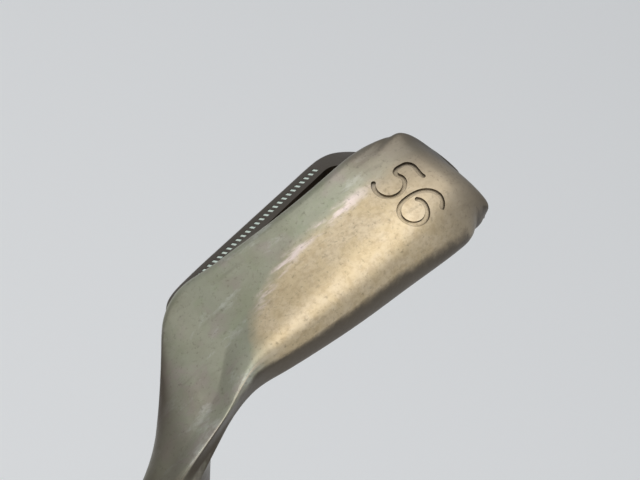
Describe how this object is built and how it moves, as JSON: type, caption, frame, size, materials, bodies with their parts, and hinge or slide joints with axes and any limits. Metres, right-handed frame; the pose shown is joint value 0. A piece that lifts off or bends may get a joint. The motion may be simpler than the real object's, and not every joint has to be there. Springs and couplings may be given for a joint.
{
  "type": "sand wedge golf club",
  "caption": "Sand wedge with a broad rounded bronze sole, cavity back, curved neck, black ferrule, stepped steel shaft and rubber grip, for playing a ball out of sand.",
  "frame": {"origin": "middle of the butt end, at the mouth of the grip cap's vent hole", "axes": "+Z along the shaft from the butt end to the head, +X from the shaft to the toe of the head, -Y the way the club face looks"},
  "size_m": [0.0895, 0.0632, 0.9327],
  "materials": {
    "head": "aged",
    "rim_marks_paint": "matte",
    "hosel_glue": "matte",
    "ferrule": "gloss",
    "shaft": "polished",
    "tip_weight": "satin",
    "grip_tape": "matte",
    "grip": "matte",
    "grip_cap": "matte"
  },
  "bodies": {
    "root": {"head": "head", "rim_marks_paint": "rim_marks_paint", "hosel_glue": "hosel_glue", "ferrule": "ferrule", "shaft": "shaft", "tip_weight": "tip_weight", "grip_tape": "grip_tape", "grip": "grip", "grip_cap": "grip_cap"}
  },
  "joints": []
}
